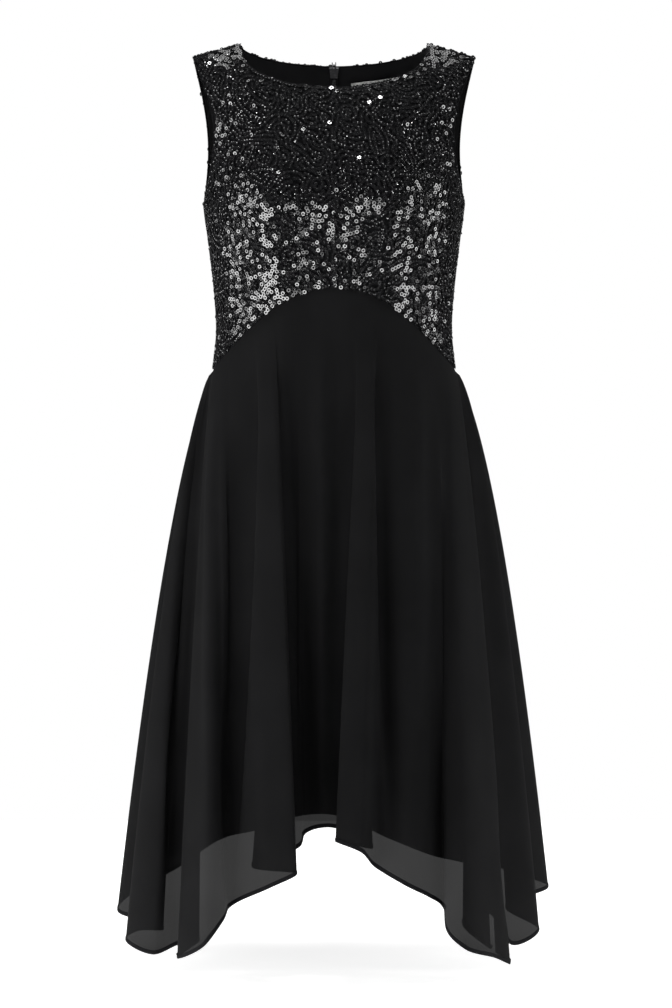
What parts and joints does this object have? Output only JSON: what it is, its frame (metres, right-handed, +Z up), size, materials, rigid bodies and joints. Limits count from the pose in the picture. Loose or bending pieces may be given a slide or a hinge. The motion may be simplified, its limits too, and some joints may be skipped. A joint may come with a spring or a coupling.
{
  "type": "evening dress",
  "caption": "Sleeveless evening dress with a sequinned bodice, arched under-bust seam and sheer skirt with a dipping hem over a shorter lining, worn shape with no wearer.",
  "frame": {"origin": "where the wearer holds the dress up: midway between the two shoulder seams, at their mid-height", "axes": "+Z up, the dress's front faces -Y, the wearer's left is at +X"},
  "size_m": [0.5483, 0.42, 1.1243],
  "materials": {
    "sequinned_mesh": "black mesh sewn over with small glossy black sequins",
    "chiffon": "sheer black chiffon, dull",
    "lining": "plain black woven lining, slight sheen",
    "zip_tape": "black woven tape",
    "zip_metal": "dark grey paint, satin",
    "label": "white woven ribbon, blank"
  },
  "bodies": {
    "dress": {"bodice_front": "sequinned_mesh", "bodice_back_left": "sequinned_mesh", "bodice_back_right": "sequinned_mesh", "bodice_lining_back_left": "lining", "bodice_lining_back_right": "lining", "skirt_front": "chiffon", "skirt_back_left": "chiffon", "skirt_back_right": "chiffon", "skirt_lining_front": "lining", "skirt_lining_back_left": "lining", "skirt_lining_back_right": "lining", "zip_tape_left": "zip_tape", "zip_tape_right": "zip_tape", "zip_slider": "zip_metal", "neck_label": "label"},
    "pull": {"zip_pull": "zip_metal"}
  },
  "joints": [
    {"name": "zip_pull_hinge", "type": "hinge", "parent": "dress", "child": "pull", "pos_m": [0, 0.06101, -0.01325], "axis": [1, 0, 0], "range_deg": [0, 150]}
  ]
}
